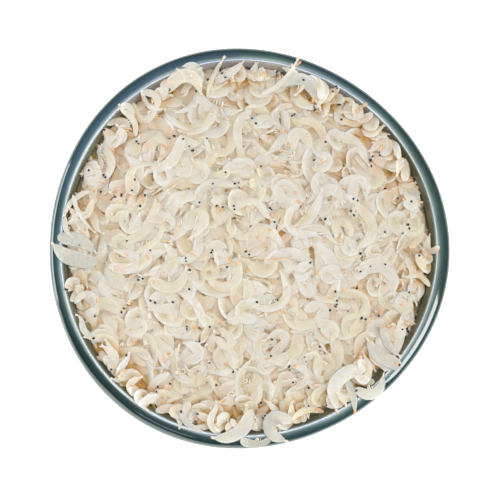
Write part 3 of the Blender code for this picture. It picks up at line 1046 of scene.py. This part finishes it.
def note_shown(level, laid):
    """Note the share of each shrimp that shows from above."""
    for shrimp in laid:
        tops = [shrimp.point(along, across, 1) for along, across in SAMPLES]
        open_tops = [top for top in tops if level.at(top.x, top.y) < top.z + SHOWN_DEPTH]
        shrimp.shown = len(open_tops) / len(tops)


def shade(level, point):
    """How far a point lies below the shrimp around it: 0 on top, 1 in full shade."""
    return min(max((level.at(point.x, point.y) - point.z) / SHADE_DEPTH, 0), 1)


def blot(co, along, across, long):
    """How much of a soft blot about a place on the body a point of the cage gets."""
    over = co.y / half_width(co.x)
    away = math.hypot((co.x - along) / long, (over - across) / 0.9)
    return max(1 - away, 0)


def build_bodies(laid, level):
    """Join the bodies into one mesh for each kind."""
    draw = random.Random(HEAP_SEED + 1)
    cage = grown_cage("Body cage", BODY_WIDTHS, BODY_SIDES)
    shell = shell_material()
    for kind in CURL_KINDS:
        bm = bmesh.new()
        along, across, tone, depth, blush, gut = (
            bm.verts.layers.float.new(name) for name in SHELL_LAYERS)
        for shrimp in laid:
            if shrimp.kind != kind:
                continue

            def on_body(co):
                half = half_width(co.x)
                over = co.y / half * (1 + draw.uniform(-0.15, 0.15))
                return shrimp.point(co.x, over, -shrimp.side * co.z / half * draw.uniform(0.8, 1.2))

            add_copy(bm, cage, on_body, (
                (along, lambda co: co.x),
                (across, lambda co: co.y / half_width(co.x)),
                (tone, shrimp.tone),
                # painted shade: how deep the point lies below the shrimp around it
                (depth, lambda co: shade(level, on_body(co))),
                (blush, lambda co: shrimp.blush * blot(co, *BLUSH_BLOT)),
                (gut, lambda co: shrimp.gut * blot(co, *GUT_BLOT)),
            ))
        piece = add_piece(f"shrimp_{kind}", bm, shell)
        smooth = piece.modifiers.new("Smooth", "SUBSURF")
        smooth.levels = 1
        smooth.render_levels = 1
    bpy.data.meshes.remove(cage)


def set_on(shrimp, size, along, across, up, angle, tilt):
    """What moves a cage's points onto the body, at a size, turned and tilted."""
    turn = Matrix.Rotation(math.radians(angle), 4, "Z") @ Matrix.Rotation(math.radians(tilt), 4, "Y")
    placed = shrimp.frame_at(along, across, up) @ turn @ Matrix.Diagonal((*size, 1))
    return lambda co: placed @ co


def join_copies(name, cage, places, material):
    """Join copies of a cage into one piece, one for each place that its points are put in."""
    bm = bmesh.new()
    for place in places:
        add_copy(bm, cage, place)
    bpy.data.meshes.remove(cage)
    add_piece(name, bm, material)


def leaf_places(laid):
    """The blades of the tail fans, and the leaf-like swimming legs on the bellies."""
    draw = random.Random(HEAP_SEED + 2)
    for shrimp in laid:
        if shrimp.shown == 0:
            continue
        spread = draw.uniform(5, 24)
        leaves = [(FAN_PLACE, 0.0, angle, draw.uniform(0.09, 0.14), draw.uniform(0.13, 0.2))
                  for angle in (-spread, 0.2 * spread, spread)]
        lean = draw.uniform(-60, -100)
        for i in range(draw.choice((0, 0, 2, 3, 4))):
            leaves.append((0.42 + 0.075 * i, BELLY, lean + draw.uniform(-20, 20),
                           draw.uniform(0.07, 0.15), draw.uniform(0.10, 0.18)))
        for along, across, angle, long, wide in leaves:
            length = shrimp.length * long
            size = (length, length * wide, LEAF_SIZE)
            yield set_on(shrimp, size, along, across, 0, angle, draw.uniform(-14, 14))


def build_leaves(laid):
    """Tail fans and swimming legs, as one piece."""
    leaf = plain_material("Dried tail fan and swimming legs", ("#F8F3EA", "#F2E4CC"), 0.5, 0.5)
    join_copies("tail_fans", grown_cage("Leaf cage", BLADE_WIDTHS, 4), leaf_places(laid), leaf)


def mark_places(laid):
    """Short orange streaks at the mouth and the wrist of the tail, and some whiskers."""
    draw = random.Random(HEAP_SEED + 3)
    for shrimp in laid:
        if shrimp.flush < 1 - MARK_SHARE or shrimp.shown == 0:
            continue
        near_edge = polar(shrimp.place.translation)[1] > HEAP_REACH - WHISKER_MARGIN
        start = draw.choice((0.04, 0.10, 0.80, 0.88)) + draw.uniform(0, 0.05)
        across = draw.uniform(-0.7, 0.4)
        turn = draw.uniform(-35, 35)
        for i in range(draw.choice((1, 1, 2, 3))):
            size = (draw.uniform(0.8, 2.5) * MM, draw.uniform(0.14, 0.46) * MM, MARK_THICKNESS * MM)
            yield set_on(shrimp, size, start + 0.02 * i, across + 0.35 * i, 0.85,
                         turn + draw.uniform(-9, 9), 0)
        if draw.random() < WHISKER_SHARE and not near_edge:
            size = (draw.uniform(*WHISKER_LENGTH) * MM, 0.16 * MM, 0.14 * MM)
            yield set_on(shrimp, size, 0.03, 0, 0.9, draw.uniform(140, 220), draw.uniform(-4, 4))


def bow_over(level, start, end, bow):
    """What moves a cage's points onto the heap, bowed from one place on it to another."""
    first, last = AXIS + Vector((*start, 0)) * MM, AXIS + Vector((*end, 0)) * MM
    side = (last - first).normalized().cross((0, 0, 1)) * MM

    def on_heap(co):
        spot = first.lerp(last, co.x)
        spot += side * (bow * 4 * co.x * (1 - co.x))
        spot.z = level.at(spot.x, spot.y) + PROUD_MOST / 2 + co.z * MARK_THICKNESS * MM
        return spot + side * (LONG_WHISKER_BREADTH * co.y)

    return on_heap


def build_marks(laid, level):
    """Orange marks and all but the pale whiskers, as one piece."""
    mark = plain_material("Pigment left in the shell", ("#E8AA6C", "#F4D09A"), 0.5, 0.3)
    places = [*mark_places(laid), *(bow_over(level, *whisker) for whisker in LONG_WHISKERS)]
    join_copies("orange_marks", grown_cage("Mark cage", BLADE_WIDTHS, 4), places, mark)


def eye_places(laid):
    """Small black eyes, mostly one that shows of each shrimp."""
    draw = random.Random(HEAP_SEED + 4)
    for shrimp in laid:
        if draw.random() < 1 - EYE_SHARE or shrimp.shown == 0:
            continue
        eyes = [(draw.uniform(0.03, 0.08), draw.uniform(-0.3, 0.4), 0.85)]
        if draw.random() < SECOND_EYE_SHARE:
            along, across, _up = eyes[0]
            eyes.append((along + draw.uniform(-0.03, 0.03), across + draw.choice((-0.9, 0.9)), 0.6))
        for along, across, up in eyes:
            half = EYE_SIZE * draw.uniform(0.8, 1.15)
            size = (half * draw.uniform(1.0, 1.5), half, half)
            yield set_on(shrimp, size, along, across, up, draw.uniform(0, 180), 0)


def build_eyes(laid):
    """All the eyes, as one piece."""
    eye = plain_material("Dried black eye", ("#17130E", "#2A2018"), 0.25)
    join_copies("shrimp_eyes", eye_cage(), eye_places(laid), eye)


def leg_places(laid):
    """Combs of fine legs behind the head, and a whisker or two in front of it."""
    draw = random.Random(HEAP_SEED + 5)
    for shrimp in laid:
        if shrimp.shown == 0 or draw.random() < 1 - LEG_SHARE:
            continue
        lean = draw.uniform(-50, -120)
        hairs = [(0.13 + 0.04 * i, BELLY, lean + draw.uniform(-12, 12), draw.uniform(2.0, 4.4))
                 for i in range(draw.randint(3, 7))]
        if draw.random() < FEELER_SHARE:
            hairs.append((0.03, 0, 180 + draw.uniform(-40, 40), draw.uniform(*WHISKER_LENGTH)))
        for along, across, angle, long in hairs:
            length = long * MM
            if polar(shrimp.point(along, across, 0))[1] > HEAP_REACH - length:
                continue
            bow = draw.uniform(-0.2, 0.2)
            half = HAIR_SIZE * draw.uniform(0.8, 1.3)
            on_body = set_on(shrimp, (1, 1, 1), along, across, 0.3, angle, draw.uniform(-8, 4))
            if on_body(Vector((length, 0, 0))).z > BOWL_HEIGHT + HEAP_RISE + PROUD_MOST:
                continue
            yield lambda co: on_body(
                Vector((co.x * length, co.y * half + bow * length * co.x * co.x, co.z * half)))


def build_legs(laid):
    """Fine legs and pale whiskers, as one piece."""
    leg = plain_material("Dried leg and whisker", ("#F0E2C6", "#E6C898"), 0.55, 0.5)
    join_copies("shrimp_legs", grown_cage("Hair cage", HAIR_WIDTHS, 3), leg_places(laid), leg)


def build_floor():
    """A pale sweep to stand the bowl on."""
    mat = plain_material("White card", ("#FBFBFA", "#FFFFFF"), 0.9)
    set_inputs(mat.node_tree, mat.node_tree.nodes["Principled BSDF"], {
        "Emission Color": srgb("#FFFFFF"), "Emission Strength": FLOOR_GLOW})
    bm = bmesh.new()
    bmesh.ops.create_grid(bm, x_segments=1, y_segments=1, size=FLOOR_SIZE)
    mesh = mesh_of("floor", bm)
    mesh.materials.append(mat)
    floor = new_object("floor", mesh)


def add_camera():
    """Look down on the heap from a metre away, slightly from the lower left."""
    data = bpy.data.cameras.new("Camera")
    data.sensor_width = SENSOR
    data.lens = SENSOR * CAMERA_DISTANCE / FRAME_WIDTH
    data.clip_start = 0.05
    data.clip_end = 20.0
    camera = new_object("Camera", data)
    away = Vector((
        math.sin(CAMERA_TILT) * math.cos(CAMERA_BEARING),
        math.sin(CAMERA_TILT) * math.sin(CAMERA_BEARING),
        math.cos(CAMERA_TILT),
    ))
    across, down = (value - PHOTO_PX / 2 for value in RIM_MIDDLE_PX)
    scale = FRAME_WIDTH / PHOTO_PX
    aim = AXIS + Vector((-across * scale, down * scale, BOWL_HEIGHT))
    side = Vector((0, 1, 0)).cross(away).normalized()
    top = away.cross(side)
    turn = Matrix((side, top, away)).transposed().to_4x4()
    camera.matrix_world = Matrix.Translation(aim + away * CAMERA_DISTANCE) @ turn
    bpy.context.scene.camera = camera


def add_softbox(name, place, size, power):
    """A soft rectangular light that faces the bowl and isn't seen itself."""
    data = bpy.data.lights.new(name, "AREA")
    data.shape = "RECTANGLE"
    data.size, data.size_y = size
    data.energy = power
    data.color = srgb("#F8FBFF")[:3]
    light = new_object(name, data)
    aim = Vector((0, 0, BOWL_HEIGHT)) - Vector(place)
    turn = aim.to_track_quat("-Z", "Y").to_matrix().to_4x4()
    light.matrix_world = Matrix.Translation(place) @ turn
    light.visible_camera = False


def add_studio():
    """A pale room that is bright above and dim on one side."""
    world = bpy.data.worlds.new("Studio")
    world.use_nodes = True
    tree = world.node_tree
    up = add_node(tree, "TexCoord").outputs["Generated"]
    rise = add_node(tree, "SeparateXYZ", (up,)).outputs["Z"]
    sky = set_stops(add_node(tree, "ValToRGB", {"Fac": rise}), (
        (0.0, "#707478"), (0.25, "#A8AAAC"), (0.7, "#FFFFFF")))
    dim_side = add_node(tree, "VectorMath", (up, towards(DIM_BEARING)), operation="DOT_PRODUCT")
    dimmed = add_node(tree, "MapRange", (dim_side, 0.1, 0.7, 0.0, 0.75))
    dark = add_node(tree, "Mix", (dimmed, sky, srgb("#26282A")), data_type="RGBA")
    set_inputs(tree, tree.nodes["Background"], {"Color": dark, "Strength": STUDIO_STRENGTH})
    bpy.context.scene.world = world


def add_lights():
    """The studio, its softboxes, and how the film takes their light."""
    add_studio()
    for softbox in SOFTBOXES:
        add_softbox(*softbox)
    settings = bpy.context.scene.view_settings
    settings.view_transform = "Standard"
    settings.gamma = FILM_GAMMA


build_bowl()
build_core()
heap_level = Level()
heap_draw = random.Random(HEAP_SEED)
shrimp_laid = heap_up(heap_level, heap_draw)
shrimp_laid += fill_edge(heap_level, heap_draw)
around = heap_level.smoothed()
shrimp_laid += reach_over(heap_level)
note_shown(heap_level, shrimp_laid)
build_bodies(shrimp_laid, around)
build_leaves(shrimp_laid)
build_marks(shrimp_laid, around)
build_eyes(shrimp_laid)
build_legs(shrimp_laid)
build_floor()
add_camera()
add_lights()

bpy.context.view_layer.update()
